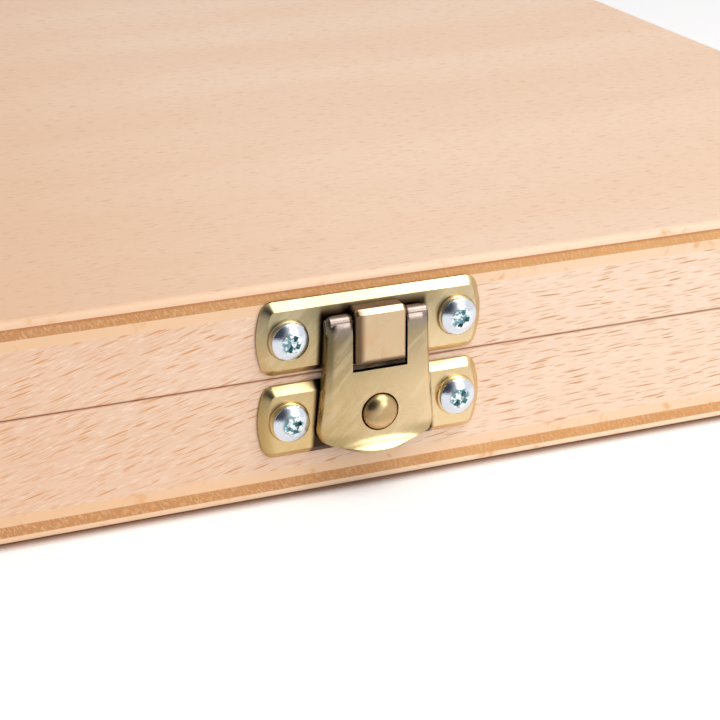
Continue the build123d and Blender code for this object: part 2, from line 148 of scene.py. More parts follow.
def round_edges(bm, edges, radius, segments):
    bmesh.ops.bevel(bm, geom=list(edges), offset=radius * MM, offset_type="OFFSET", affect="EDGES",
                    segments=segments, profile=0.5, material=-1, clamp_overlap=True)


def extruded(result):
    """The vertices that an extrusion made."""
    return [item for item in result["geom"] if isinstance(item, bmesh.types.BMVert)]


def foremost(faces):
    """The face whose middle lies furthest to the front."""
    return min(faces, key=lambda face: face.calc_center_median().y)


def spans(edge, axis):
    """How far an edge reaches along an axis, 0 to 2."""
    first, second = edge.verts
    return abs(first.co[axis] - second.co[axis])


def upright(edge):
    return spans(edge, 0) < NEAR and spans(edge, 1) < NEAR


def at_height(edge, z):
    return all(abs(vert.co.z - z * MM) < NEAR for vert in edge.verts)


def turned(bm, profile, centre, steps):
    """A turned form on an axis out of the front face: profile is (radius, out) from middle to rim."""
    points = [bm.verts.new(at_front(radius, out, 0)) for radius, out in profile]
    edges = [bm.edges.new(pair) for pair in zip(points, points[1:])]
    bmesh.ops.spin(bm, geom=points + edges, cent=at_front(0, 0, 0), axis=(0, 1, 0), dvec=(0, 0, 0),
                   angle=2 * pi, steps=steps, use_merge=True, use_duplicate=False)
    new = [vert for vert in bm.verts if not vert.tag]
    bmesh.ops.remove_doubles(bm, verts=new, dist=1e-6)
    new = [vert for vert in bm.verts if not vert.tag]
    bmesh.ops.translate(bm, vec=(centre[0] * MM, 0, centre[1] * MM), verts=new)
    bmesh.ops.recalc_face_normals(bm, faces=list({face for vert in new for face in vert.link_faces}))
    for vert in new:
        vert.tag = True


def arc(centre, radius, first, last, steps):
    """Points on an arc in a (radius, out) profile; the angles are in degrees."""
    return [(centre[0] + radius * cos(radians(first + (last - first) * i / steps)),
             centre[1] + radius * sin(radians(first + (last - first) * i / steps)))
            for i in range(steps + 1)]


# Small helpers for materials
class Bench:
    """Adds nodes to one tree and joins them; what goes in is a number, a tuple or a socket."""

    def __init__(self, tree):
        self.tree = tree

    def node(self, kind, inputs=(), **settings):
        made = self.tree.nodes.new(kind)
        for key, value in settings.items():
            setattr(made, key, value)
        self.fill(made, dict(inputs))
        return made

    def feed(self, socket, value):
        if isinstance(value, bpy.types.NodeSocket):
            self.tree.links.new(value, socket)
        else:
            socket.default_value = value

    def fill(self, node, inputs):
        for key, value in inputs.items():
            self.feed(node.inputs[key], value)

    def maths(self, operation, *values):
        made = self.node("ShaderNodeMath", operation=operation)
        for socket, value in zip(made.inputs, values):
            self.feed(socket, value)
        return made.outputs[0]

    def between(self, value, low, high, to_low=0.0, to_high=1.0):
        """Smooth step of value from low..high to to_low..to_high."""
        made = self.node("ShaderNodeMapRange", {"Value": value, "From Min": low, "From Max": high,
                                                "To Min": to_low, "To Max": to_high},
                         interpolation_type="SMOOTHSTEP")
        return made.outputs["Result"]

    def mixed(self, share, first, second, blend="MIX"):
        made = self.node("ShaderNodeMix", data_type="RGBA", blend_type=blend)
        self.feed(made.inputs[0], share)
        self.feed(made.inputs[6], first)
        self.feed(made.inputs[7], second)
        return made.outputs[2]

    def noise(self, vector, scale, detail=2.0, roughness=0.5, distortion=0.0):
        made = self.node("ShaderNodeTexNoise", {"Vector": vector, "Scale": scale, "Detail": detail,
                                                "Roughness": roughness, "Distortion": distortion})
        return made.outputs["Fac"]

    def streaks(self, along, across, seed, often, detail=2.0, roughness=0.5):
        """Noise drawn out along the grain; often is its changes in a millimetre along and across."""
        where = self.vector(self.times(along, often[0]), self.times(across, often[1]), seed)
        return self.noise(where, 1.0, detail, roughness)

    def times(self, first, *others):
        """The product of values; of masks, it is what they have in common."""
        product = first
        for value in others:
            product = self.maths("MULTIPLY", product, value)
        return product

    def size(self, value):
        return self.maths("ABSOLUTE", value)

    def vector(self, x, y, z):
        return self.node("ShaderNodeCombineXYZ", {"X": x, "Y": y, "Z": z}).outputs[0]

    def parts(self, vector):
        return self.node("ShaderNodeSeparateXYZ", {"Vector": vector}).outputs

    def mapped(self, vector, scale=(1, 1, 1), turn=(0, 0, 0), shift=(0, 0, 0)):
        made = self.node("ShaderNodeMapping", {"Vector": vector, "Scale": scale, "Location": shift,
                                               "Rotation": [radians(angle) for angle in turn]})
        return made.outputs[0]

    def group(self, tree, inputs):
        return self.node("ShaderNodeGroup", inputs, node_tree=tree).outputs

    def place(self):
        """Object coordinates in millimetres, and the surface's direction in the object."""
        found = self.node("ShaderNodeTexCoord")
        millimetres = self.node("ShaderNodeVectorMath", {0: found.outputs["Object"], 1: (1000, 1000, 1000)},
                                operation="MULTIPLY").outputs[0]
        return millimetres, found.outputs["Normal"]

    def bump(self, height, distance, strength):
        return self.node("ShaderNodeBump", {"Height": height, "Distance": distance * MM,
                                            "Strength": strength}).outputs[0]


def colour(red, green, blue):
    """A colour as an eye reads it on a screen, 0 to 255, for a shader."""
    linear = [(c / 255 / 12.92) if c <= 10.3 else ((c / 255 + 0.055) / 1.055) ** 2.4
              for c in (red, green, blue)]
    return (*linear, 1.0)


def effect(name, inputs, outputs):
    """A node group with named inputs and outputs, and the bench that fills it."""
    tree = bpy.data.node_groups.new(name, "ShaderNodeTree")
    kinds = {"colour": "NodeSocketColor", "value": "NodeSocketFloat", "vector": "NodeSocketVector"}
    for label, kind in inputs:
        tree.interface.new_socket(name=label, in_out="INPUT", socket_type=kinds[kind])
    for label, kind in outputs:
        tree.interface.new_socket(name=label, in_out="OUTPUT", socket_type=kinds[kind])
    bench = Bench(tree)
    given = bench.node("NodeGroupInput").outputs
    result = bench.node("NodeGroupOutput")
    return tree, bench, given, result


def material(name):
    """A material with its bench and its Principled shader."""
    made = bpy.data.materials.new(name)
    made.use_nodes = True
    bench = Bench(made.node_tree)
    shader = made.node_tree.nodes["Principled BSDF"]
    return made, bench, shader


# Effects that several finishes share
def make_flecks():
    """Short lens-shaped ray flecks of beech; Along and Across are millimetres on the surface."""
    tree, bench, given, result = effect(
        "beech_flecks", [("Along", "value"), ("Across", "value"), ("Seed", "value"), ("Slant", "value")],
        [("Flecks", "value"), ("Hairs", "value")])
    along, across, seed = given["Along"], given["Across"], given["Seed"]
    sway_length, sway_height, wander_height = 25.0, 2.9, 1.4
    wave = bench.maths("COSINE", bench.maths("DIVIDE", along, sway_length))
    lean = bench.times(along, given["Slant"])
    level = bench.maths("SUBTRACT", bench.maths("SUBTRACT", across, lean),
                        bench.times(wave, sway_height))
    wander = bench.streaks(along, level, seed, (0.06, 0.2), 1.0)
    level = bench.maths("MULTIPLY_ADD", wander, wander_height, level)

    def layer(long_cell, high_cell, longest, thickest):
        """One fleck in each cell; the cells are in millimetres, the flecks in shares of a cell."""
        cells = bench.vector(bench.maths("MULTIPLY_ADD", along, 1 / long_cell, seed),
                             bench.maths("MULTIPLY_ADD", level, 1 / high_cell, seed), 0.0)
        found = bench.node("ShaderNodeTexVoronoi", {"Vector": cells, "Scale": 1.0, "Randomness": 0.9},
                           voronoi_dimensions="2D", feature="F1")
        away = bench.node("ShaderNodeVectorMath", {0: cells, 1: found.outputs["Position"]},
                          operation="SUBTRACT").outputs[0]
        off_along, off_across = bench.parts(away)[:2]
        first, second, third = bench.parts(found.outputs["Color"])[:3]
        reach = bench.maths("MULTIPLY_ADD", first, longest * 0.6, longest * 0.4)
        thick = bench.maths("MULTIPLY_ADD", second, thickest * 0.5, thickest * 0.5)
        tilt = bench.times(off_along, bench.maths("MULTIPLY_ADD", second, 0.3, -0.15))
        flat = bench.maths("DIVIDE", bench.size(bench.maths("ADD", off_across, tilt)), thick)
        ends = bench.maths("POWER", bench.maths("DIVIDE", off_along, reach), 2.0)
        lens = bench.between(bench.maths("ADD", flat, ends), 1.0, 0.3)
        return bench.times(lens, bench.between(third, 0.0, 0.75, 0.3, 1.0))

    large = layer(5.6, 0.9, longest=0.48, thickest=0.2)
    small = bench.times(layer(3.4, 0.58, longest=0.48, thickest=0.2), 0.7)
    bench.fill(result, {"Flecks": bench.maths("MAXIMUM", large, small),
                        "Hairs": bench.streaks(along, level, seed, (0.5, 3.4), 3.0, 0.65)})
    return tree


def make_end_grain():
    """The cut ends of fibres: short slanting strokes, and slow bands from layer to layer."""
    tree, bench, given, result = effect("end_grain", [("Vector", "vector")],
                                        [("Dots", "value"), ("Bands", "value")])
    slant = 32
    strokes = bench.mapped(bench.mapped(given["Vector"], turn=(0, slant, 0)), scale=(2.8, 2.8, 1.1))
    dots = bench.noise(strokes, 1.0, 3.0, 0.7, 0.2)
    bands = bench.noise(bench.mapped(given["Vector"], scale=(0.06, 0.06, 0.7)), 1.0, 3.0, 0.55)
    bench.fill(result, {"Dots": bench.between(dots, 0.46, 0.62), "Bands": bands})
    return tree


def make_patches():
    """Slow changes of tone over a surface, and a fine speckle, from millimetre coordinates."""
    tree, bench, given, result = effect("slow_patches", [("Vector", "vector"), ("Size", "value")],
                                        [("Patches", "value"), ("Speckle", "value")])
    spread = bench.maths("DIVIDE", 1.0, given["Size"])
    bench.fill(result, {"Patches": bench.noise(given["Vector"], spread, 2.0, 0.5, 0.4),
                        "Speckle": bench.noise(given["Vector"], 4.0, 3.0, 0.6)})
    return tree


FLECKS = make_flecks()
END_GRAIN = make_end_grain()
PATCHES = make_patches()


# Wood finishes
def painted_light_from_right(bench, x, left, right):
    """A tone that changes slowly from the left of the box to the right; the script uses it to paint shade at
    the left and light at the right, as light falling from the right would.
    """
    return bench.mixed(bench.between(x, -62.0, 36.0), left, right)


# Each pair is a tone at the left of the box and at the right; the pale and warm tones are darker at the left
# as painted shade and lighter at the right as painted light.
BEECH_LIGHT = (colour(241, 203, 175), colour(250, 223, 200))
BEECH_WARM = (colour(234, 192, 160), colour(245, 212, 184))
BEECH_FLECK = (colour(226, 158, 98), colour(214, 147, 88))


def beech(name, grain, seed):
    """Planed beech; grain is 0 along X or 1 along Y, and the cut ends are darker with dots."""
    made, bench, shader = material(name)
    place, facing = bench.place()
    x, y, z = bench.parts(place)[:3]
    # Painted shade at the left and painted light at the right of the rails.
    light = painted_light_from_right(bench, x, *BEECH_LIGHT)
    warm = painted_light_from_right(bench, x, *BEECH_WARM)
    fleck = painted_light_from_right(bench, x, *BEECH_FLECK)
    along, other = (x, y) if grain == 0 else (y, x)
    across = bench.maths("ADD", z, other)
    flecks = bench.group(FLECKS, {"Along": along, "Across": across, "Seed": seed, "Slant": 0.15})
    patches = bench.group(PATCHES, {"Vector": bench.mapped(place, scale=(0.5, 0.5, 1), shift=(seed, 0, 0)),
                                    "Size": 9.0})
    tone = bench.mixed(bench.between(patches["Patches"], 0.35, 0.75, 0.0, 0.5), light, warm)
    tone = bench.mixed(bench.between(flecks["Hairs"], 0.48, 0.72, 0.0, 0.9), tone, warm)
    tone = bench.mixed(bench.between(flecks["Hairs"], 0.48, 0.25, 0.0, 0.8), tone, colour(255, 238, 220))
    marked = bench.times(flecks["Flecks"], 0.95)
    tone = bench.mixed(marked, tone, fleck)
    # Painted shade: upright faces turn brown within a few tenths of a millimetre of the seam, for the shade
    # in the gap between lid and base.
    seam_shade = bench.between(bench.size(bench.maths("SUBTRACT", z, SEAM)), 0.3, 0.12, 0.0, 0.5)
    upright_face = bench.between(bench.size(bench.parts(facing)[2]), 0.6, 0.3)
    tone = bench.mixed(bench.times(seam_shade, upright_face), tone, colour(196, 126, 78))
    ends = bench.group(END_GRAIN, {"Vector": bench.mapped(place, turn=(0, 0, 90 if grain == 0 else 0))})
    cut_tone = bench.mixed(ends["Dots"], fleck, warm)
    cut_tone = bench.mixed(bench.between(ends["Bands"], 0.4, 0.65, 0.0, 0.6), cut_tone, light)
    cut_end = bench.between(bench.size(bench.parts(facing)[grain]), 0.75, 0.95)
    height = bench.maths("SUBTRACT", bench.times(flecks["Hairs"], 0.5), marked)
    bench.fill(shader, {"Base Color": bench.mixed(cut_end, tone, cut_tone), "Specular IOR Level": 0.35,
                        "Roughness": bench.between(flecks["Hairs"], 0.3, 0.7, 0.5, 0.62),
                        "Normal": bench.bump(height, 0.03, 0.4)})
    return made


def face_veneer(name, seed, edges):
    """A sanded ply: fine straight grain along X on its face, and paler at its cut or rounded edges. Face and
    edges are painted darker and warmer to the left as painted shade and lighter to the right as painted
    light.
    """
    made, bench, shader = material(name)
    place, facing = bench.place()
    x, y = bench.parts(place)[:2]
    across = bench.maths("SUBTRACT", y, bench.times(x, 0.035))
    bend = bench.streaks(x, across, seed, (0.012, 0.03))
    level = bench.maths("ADD", across, bench.times(bend, 9.0))
    hairs = bench.streaks(x, level, seed, (0.28, 3.2), 3.0, 0.65)
    dashes = bench.streaks(x, level, seed + 7.0, (0.42, 2.3))
    rings = bench.streaks(x, level, seed + 3.0, (0.006, 0.055))
    tone = bench.mixed(bench.between(rings, 0.35, 0.65), colour(247, 215, 188), colour(244, 209, 180))
    # Painted shade: the face turns darker and warmer toward the left, where less light falls.
    tone = bench.mixed(bench.between(x, -75.0, 25.0, 0.8, 0.0), tone, colour(232, 184, 144))
    tone = bench.mixed(bench.between(hairs, 0.5, 0.8, 0.0, 0.5), tone, colour(226, 182, 148))
    tone = bench.mixed(bench.between(dashes, 0.58, 0.72, 0.0, 0.6), tone, colour(212, 164, 126))
    spots = bench.group(PATCHES, {"Vector": place, "Size": 2.6})
    # Painted light: the edge tone runs from shaded left to lit right.
    edge_tone = bench.mixed(bench.between(spots["Patches"], 0.6, 0.8), painted_light_from_right(bench, x, *edges),
                            colour(236, 184, 134))
    on_face = bench.between(bench.size(bench.parts(facing)[2]), 0.55, 0.97)
    height = bench.maths("SUBTRACT", bench.times(hairs, -0.6), bench.between(dashes, 0.6, 0.75))
    bench.fill(shader, {"Base Color": bench.mixed(on_face, edge_tone, tone), "Specular IOR Level": 0.35,
                        "Roughness": bench.between(hairs, 0.3, 0.7, 0.46, 0.6),
                        "Normal": bench.bump(height, 0.03, 0.5)})
    return made


def core_veneer(name):
    """The middle ply's cut edge: orange brown with slanting pale strokes, and darker in a narrow band
    along its top, under the lid's top ply."""
    made, bench, shader = material(name)
    place, _ = bench.place()
    x, _, z = bench.parts(place)[:3]
    dark_band_top = 28.85
    ends = bench.group(END_GRAIN, {"Vector": place})
    spots = bench.group(PATCHES, {"Vector": place, "Size": 14.0})
    # Painted shade at the left and painted light at the right of the ply's edge.
    tone = painted_light_from_right(bench, x, colour(203, 145, 96), colour(228, 170, 112))
    tone = bench.mixed(bench.between(spots["Patches"], 0.35, 0.65, 0.0, 0.6), tone, colour(208, 146, 92))
    tone = bench.mixed(bench.times(ends["Dots"], 0.5), tone, colour(238, 198, 152))
    tone = bench.mixed(bench.between(z, dark_band_top - 0.45, dark_band_top, 0.0, 0.7), tone, colour(192, 120, 72))
    bench.fill(shader, {"Base Color": tone, "Specular IOR Level": 0.25,
                        "Roughness": bench.between(ends["Dots"], 0.0, 1.0, 0.62, 0.75),
                        "Normal": bench.bump(ends["Dots"], 0.06, 0.7)})
    return made


long_beech = beech("beech_long", 0, 3.0)
short_beech = beech("beech_short", 1, 11.0)
# Each edges pair is the tone of a ply's edges at the left, in painted shade, and at the right, in painted
# light.
inner_veneer = face_veneer("beech_inner_veneer", 23.0, (colour(243, 201, 160), colour(250, 215, 181)))
top_veneer = face_veneer("beech_lid_veneer", 2.0, (colour(243, 204, 170), colour(249, 219, 190)))
under_veneer = face_veneer("beech_bottom_veneer", 31.0, (colour(248, 211, 176), colour(253, 228, 198)))
core_edge = core_veneer("core_ply_edge")


# Metal finishes
def make_patina():
    """Smudges, slanting wipes and tiny pits of handled metal, from millimetre coordinates."""
    tree, bench, given, result = effect(
        "brass_patina", [("Vector", "vector")], [("Smudge", "value"), ("Wipes", "value"), ("Pits", "value")])
    where = given["Vector"]
    smudge = bench.noise(bench.mapped(where, scale=(0.22, 0.22, 0.16)), 1.0, 3.0, 0.55, 0.8)
    wipes = bench.noise(bench.mapped(bench.mapped(where, turn=(0, -42, 0)), scale=(0.75, 0.4, 0.14)),
                        1.0, 3.0, 0.55, 0.3)
    bench.fill(result, {"Smudge": bench.between(smudge, 0.35, 0.7), "Wipes": bench.between(wipes, 0.46, 0.66),
                        "Pits": bench.noise(where, 9.0, 2.0, 0.6)})
    return tree


PATINA = make_patina()


def antique_brass(name, left, right, top, low, high, roughness=0.27, marks=()):
    """Satin antique brass with smudges and wipes, painted paler to the right as a painted reflection of the
    bright side, and duller olive high up, most at the left, as a painted reflection of the dim room.
    """
    made, bench, shader = material(name)
    place, facing = bench.place()
    wear = bench.group(PATINA, {"Vector": place})
    x, y, z = bench.parts(place)[:3]
    # Painted reflection: paler to the right, where the metal mirrors the bright side.
    tone = bench.mixed(bench.between(x, -10.0, 10.0), left, right)
    tone = bench.mixed(bench.times(wear["Smudge"], 0.3), tone, right)
    # Painted reflection: duller olive high up, most at the left, where the metal mirrors the dim room.
    dim_reflection_high = bench.times(bench.between(z, low, high), bench.between(x, 12.0, -7.0, 0.6, 1.0))
    tone = bench.mixed(dim_reflection_high, tone, top)
    tone = bench.mixed(bench.times(wear["Wipes"], 0.22), tone, colour(240, 220, 188))
    for mark in marks:
        tone = mark(bench, tone, x, y, z, bench.parts(facing))
    rough = bench.maths("MULTIPLY_ADD", wear["Wipes"], 0.08, roughness)
    bench.fill(shader, {"Base Color": tone, "Metallic": 1.0,
                        "Roughness": bench.maths("MULTIPLY_ADD", wear["Smudge"], 0.05, rough),
                        "Normal": bench.bump(wear["Pits"], 0.006, 0.4)})
    return made


# A dark brown for painted shade behind and inside the hasp.
PAINTED_SHADE_DARK = colour(58, 44, 30)


def shade_round_hasp(bench, tone, x, y, z, facing):
    """Painted shade on the plates: dark where they lie behind the hasp, and a fainter painted shade
    round its shoulders on the lid plate's face."""
    off_middle = bench.size(x)
    edge = bench.maths("MULTIPLY_ADD", z, -0.07, 9.3)
    inside = bench.between(bench.maths("SUBTRACT", edge, off_middle), -0.25, 0.4)
    behind = bench.between(y, HASP_Y + 0.2, HASP_Y + 0.4)
    below = bench.between(z, TONGUE_UNDER + 1.5, TONGUE_UNDER)
    halo = bench.times(bench.between(off_middle, 12.0, 6.0), bench.between(z, 22.5, 26.0, 0.0, 0.55))
    on_plate = bench.between(y, PLATE_Y - 0.5, PLATE_Y - 0.3)
    under_bevel = bench.between(z, LID_BEVEL_Z + 0.15, LID_BEVEL_Z - 0.05)
    # Painted shade: a faint ring round the shoulders, then dark behind the hasp.
    tone = bench.mixed(bench.times(halo, on_plate, under_bevel), tone, colour(96, 84, 60))
    return bench.mixed(bench.times(inside, behind, below), tone, PAINTED_SHADE_DARK)


def dull_left_end(bench, tone, x, y, z, facing):
    """The plate's left end turns a dull olive brown."""
    return bench.mixed(bench.between(x, -13.4, -15.6, 0.0, 0.6), tone, colour(140, 118, 70))


def tongue_wear_and_shade(bench, tone, x, y, z, facing):
    """The tongue is rubbed to a pinkish gold in front, with smudges; its top is painted brown as a painted
    reflection of the shaded bevel and wood behind it, and its sides and foot are painted dark as painted
    shade.
    """
    front = bench.between(y, TONGUE_Y + 0.75, TONGUE_Y + 0.45)
    tone = bench.mixed(bench.times(front, 0.8), tone, colour(210, 183, 148))
    worn = bench.noise(bench.vector(bench.times(x, 0.5), 0.0, bench.times(z, 0.2)), 1.0, 2.0, 0.5, 0.6)
    smudge = bench.times(front, bench.between(worn, 0.48, 0.7, 0.0, 0.8))
    tone = bench.mixed(smudge, tone, colour(212, 168, 126))
    # Painted shade along the tongue's sides and foot.
    left = bench.between(x, -2.0, -3.1, 0.0, 0.9)
    right = bench.between(x, 3.0, 3.6, 0.0, 0.6)
    foot = bench.between(z, TONGUE_LOW + 0.65, TONGUE_LOW + 0.15, 0.0, 0.9)
    edges = bench.maths("MAXIMUM", bench.maths("MAXIMUM", left, right), foot)
    tone = bench.mixed(bench.times(front, edges), tone, colour(84, 64, 46))
    # Painted reflection: the top is brown.
    out = bench.between(y, PLATE_Y - 0.2, PLATE_Y - 0.6)
    on_top = bench.times(bench.between(facing[2], 0.85, 0.97), out)
    return bench.mixed(on_top, tone, colour(146, 118, 106))


def crown_tarnish_and_shade(bench, tone, x, y, z, facing):
    """The hasp's shoulders are tarnished grey and the ends of its lip are olive; its left flank is painted
    dark olive as painted shade on the side away from the light, and its window is painted dark inside as
    painted shade."""
    off_middle = bench.size(x)
    tone = bench.mixed(bench.between(z, 21.5, 24.6, 0.0, 0.9), tone, colour(142, 128, 122))
    # Painted shade on the left flank.
    flank = bench.times(bench.between(facing[0], -0.15, -0.6), bench.between(z, 12.0, 21.0), 0.75)
    tone = bench.mixed(flank, tone, colour(96, 86, 58))
    lip = bench.times(bench.between(z, 9.6, 8.4), bench.between(off_middle, 1.5, 6.5), 0.6)
    tone = bench.mixed(lip, tone, colour(150, 130, 84))
    # Painted shade inside the window.
    inner = bench.times(bench.between(off_middle, 4.3, 4.0), bench.between(y, HASP_Y + 0.05, HASP_Y + 0.2))
    return bench.mixed(inner, tone, PAINTED_SHADE_DARK)


def stud_shade_and_reflection(bench, tone, x, y, z, facing):
    """Painted light on the stud: its left flank is painted brown as painted shade, and its underside is
    painted bright as a painted reflection of the white floor.
    """
    tone = bench.mixed(bench.between(facing[0], 0.0, -0.8, 0.0, 0.7), tone, colour(112, 84, 50))
    return bench.mixed(bench.between(facing[2], -0.05, -0.7, 0.0, 0.8), tone, colour(246, 216, 170))


def bright_zinc(name, screw_z=None):
    """Bright zinc plate with a faint blue cast; in the recess of the latch's screws, at height screw_z,
    facets that face up and left get a painted teal reflection of the dim room, and the rest a painted white
    one."""
    made, bench, shader = material(name)
    place, facing = bench.place()
    wear = bench.group(PATINA, {"Vector": place})
    in_recess = 0.0
    if screw_z:
        x, _, z = bench.parts(place)[:3]
        off_x = bench.maths("SUBTRACT", bench.size(x), SCREW_X)
        off_z = bench.maths("SUBTRACT", z, screw_z)
        off = bench.maths("SQRT", bench.maths("ADD", bench.maths("POWER", off_x, 2.0),
                                              bench.maths("POWER", off_z, 2.0)))
        in_recess = bench.between(off, RECESS_R + 0.15, RECESS_R - 0.35)
    # Painted reflection in the recess: teal facets facing up and left, white facets elsewhere.
    facets = bench.noise(place, 1.9, 1.0, 0.5, 0.3)
    lean = bench.node("ShaderNodeVectorMath", {0: facing, 1: (-0.4, 0.0, 0.35)},
                      operation="DOT_PRODUCT").outputs["Value"]
    mirrored_facets = bench.between(bench.maths("MULTIPLY_ADD", facets, 1.6, lean), 0.68, 0.98)
    glint = bench.mixed(mirrored_facets, colour(238, 246, 248), colour(104, 146, 154))
    tone = bench.mixed(in_recess, colour(216, 222, 231), glint)
    rough = bench.maths("MULTIPLY_ADD", wear["Smudge"], 0.05, 0.13)
    rub = bench.maths("MULTIPLY_ADD", in_recess, facets, wear["Pits"])
    bench.fill(shader, {"Base Color": tone, "Metallic": 1.0,
                        "Roughness": bench.maths("MULTIPLY_ADD", in_recess, 0.06, rough),
                        "Normal": bench.bump(rub, 0.02, 0.6)})
    return made


# Their marks add painted shade and painted reflections to the brass, besides its wear and tarnish.
keeper_brass = antique_brass("antique_brass_keeper", colour(211, 183, 127), colour(229, 204, 159),
                             colour(192, 172, 128), 11.0, 17.0, marks=[shade_round_hasp, dull_left_end])
lid_plate_brass = antique_brass("antique_brass_lid_plate", colour(192, 166, 118), colour(226, 202, 158),
                                colour(172, 158, 124), 18.0, 25.0, marks=[shade_round_hasp, tongue_wear_and_shade])
hasp_brass = antique_brass("antique_brass_hasp", colour(186, 162, 114), colour(222, 197, 156),
                           colour(118, 107, 80), 13.0, 25.0, roughness=0.25, marks=[crown_tarnish_and_shade])
stud_brass = antique_brass("antique_brass_stud", colour(168, 138, 92), colour(194, 164, 120),
                           colour(184, 158, 114), 9.0, 14.0, roughness=0.26, marks=[stud_shade_and_reflection])
hinge_brass = antique_brass("hinge_brass", colour(216, 190, 132), colour(222, 196, 138),
                            colour(205, 186, 134), 8.0, 26.0)
lid_zinc = bright_zinc("zinc_lid_plate_screws", LID_SCREW_Z)
keeper_zinc = bright_zinc("zinc_keeper_plate_screws", KEEPER_SCREW_Z)
hinge_zinc = bright_zinc("zinc_hinge_screws")


# Inside finishes
def gloss(name, base, tint, roughness, coat=0.0):
    """Moulded plastic or enamel: nearly even, with soft smudges and a slight ripple in the gloss."""
    made, bench, shader = material(name)
    place, _ = bench.place()
    slow = bench.group(PATCHES, {"Vector": place, "Size": 22.0})
    tinted = bench.between(slow["Patches"], 0.35, 0.7)
    bench.fill(shader, {"Base Color": bench.mixed(tinted, base, tint),
                        "Roughness": bench.maths("MULTIPLY_ADD", slow["Speckle"], 0.1, roughness),
                        "Coat Weight": coat, "Coat Roughness": 0.08,
                        "Normal": bench.bump(slow["Patches"], 0.06, 0.35)})
    return made


tray_enamel = gloss("tray_enamel", colour(238, 238, 234), colour(229, 230, 227), 0.22, 0.4)
pan_plastic = gloss("pan_plastic", colour(240, 240, 236), colour(232, 232, 228), 0.3)
palette_glaze = gloss("palette_glaze", colour(246, 246, 243), colour(239, 240, 238), 0.16, 0.5)


def make_paint_skin():
    """The dried skin of a poured cake: a mottled tone, tiny craters and a fine grain."""
    tree, bench, given, result = effect(
        "paint_skin", [("Vector", "vector"), ("Colour", "colour")],
        [("Colour", "colour"), ("Sheen", "value"), ("Height", "value")])
    mottle = bench.noise(given["Vector"], 0.35, 4.0, 0.6, 0.5)
    pits = bench.node("ShaderNodeTexVoronoi", {"Vector": given["Vector"], "Scale": 1.3, "Randomness": 1.0},
                      feature="F1")
    crater = bench.between(pits.outputs["Distance"], 0.16, 0.05)
    rare = bench.between(bench.parts(pits.outputs["Color"])[0], 0.72, 0.8)
    crater = bench.times(crater, rare)
    deep = bench.mixed(1.0, given["Colour"], (0.62, 0.62, 0.62, 1.0), "MULTIPLY")
    tone = bench.mixed(bench.between(mottle, 0.35, 0.7, 0.0, 0.55), given["Colour"], deep)
    fine = bench.noise(given["Vector"], 3.0, 3.0, 0.6)
    bench.fill(result, {"Colour": bench.mixed(bench.times(crater, 0.5), tone, deep),
                        "Sheen": bench.between(mottle, 0.3, 0.75, 0.32, 0.6),
                        "Height": bench.maths("MULTIPLY_ADD", fine, 0.3, bench.times(crater, -1.0))})
    return tree


PAINT_SKIN = make_paint_skin()


def paint_finish(name, tone):
    made, bench, shader = material(name)
    place, _ = bench.place()
    skin = bench.group(PAINT_SKIN, {"Vector": place, "Colour": (*tone, 1.0)})
    bench.fill(shader, {"Base Color": skin["Colour"], "Roughness": skin["Sheen"],
                        "Specular IOR Level": 0.45, "Normal": bench.bump(skin["Height"], 0.12, 0.8)})
    return made


# CAD nodes that stay get their finish here, and the tray and pans get soft edges too
def dress(names, finish, soften=0.0):
    for name in names:
        node = frame["nodes"][name]
        node.data.materials.clear()
        node.data.materials.append(finish)
        if soften:
            modify(node, "WELD", {"merge_threshold": 1e-6})
            modify(node, *softened(soften, 2, 40, harden=True))


dress(["base_front_rail", "base_back_rail", "lid_front_rail", "lid_back_rail"], long_beech)
dress(["base_left_rail", "base_right_rail", "lid_left_rail", "lid_right_rail"], short_beech)
dress(["front_divider", "rear_divider"], long_beech)
dress(["bottom_inner_ply", "lid_inner_ply"], inner_veneer)
dress(["bottom_core_ply", "lid_core_ply"], core_edge)
dress(["lid_face_ply"], top_veneer)
dress(["bottom_face_ply"], under_veneer)
dress([f"{side}_hinge_{part}" for side in ("left", "right") for part in ("base_leaf", "lid_leaf", "pin")],
      hinge_brass)
dress(["base_hinge_screws", "lid_hinge_screws"], hinge_zinc)
dress(["pan_tray"], tray_enamel, 0.25)
dress(["front_row_pans", "back_row_pans"], pan_plastic, 0.2)


# Latch plates
def plate_form(bm, centre_z, screw_z):
    """A pressed plate with bowed ends and a flat bevel all round, and a raised ring at each screw."""
    grid = bmesh.ops.create_grid(bm, x_segments=1, y_segments=6, size=0.5)["verts"]
    for vert in grid:
        up = vert.co.y * 2
        half_w = PLATE_HALF_W - PLATE_BULGE * up * up
        vert.co = at_front((1 if vert.co.x > 0 else -1) * half_w, 0, centre_z + up * PLATE_H / 2)
    bmesh.ops.dissolve_faces(bm, faces=list(bm.faces), use_verts=False)
    raised = extruded(bmesh.ops.extrude_face_region(bm, geom=list(bm.faces)))
    bmesh.ops.translate(bm, vec=(0, (PLATE_BEVEL - PLATE_T) * MM, 0), verts=raised)
    bmesh.ops.recalc_face_normals(bm, faces=bm.faces)
    corners = [edge for edge in bm.edges if spans(edge, 1) > NEAR
               and (at_height(edge, centre_z + PLATE_H / 2) or at_height(edge, centre_z - PLATE_H / 2))]
    round_edges(bm, corners, PLATE_CORNER, 5)
    bmesh.ops.inset_region(bm, faces=[foremost(bm.faces)], thickness=PLATE_BEVEL * MM,
                           depth=PLATE_BEVEL * MM, use_boundary=True, use_even_offset=True)
    for vert in bm.verts:
        vert.tag = True
    top, sunk = PLATE_T + LAND_H, PLATE_T - 0.3
    ring = [(LAND_BORE, sunk), (LAND_BORE, top), (LAND_R - 0.42, top)]
    ring += arc((LAND_R - 0.42, top - LAND_ROUND), LAND_ROUND, 90, 10, 4)[1:]
    ring += [(LAND_R, PLATE_T - 0.02), (LAND_R, sunk), (LAND_BORE, sunk)]
    for end in (-1, 1):
        turned(bm, ring, (end * SCREW_X, screw_z), 48)


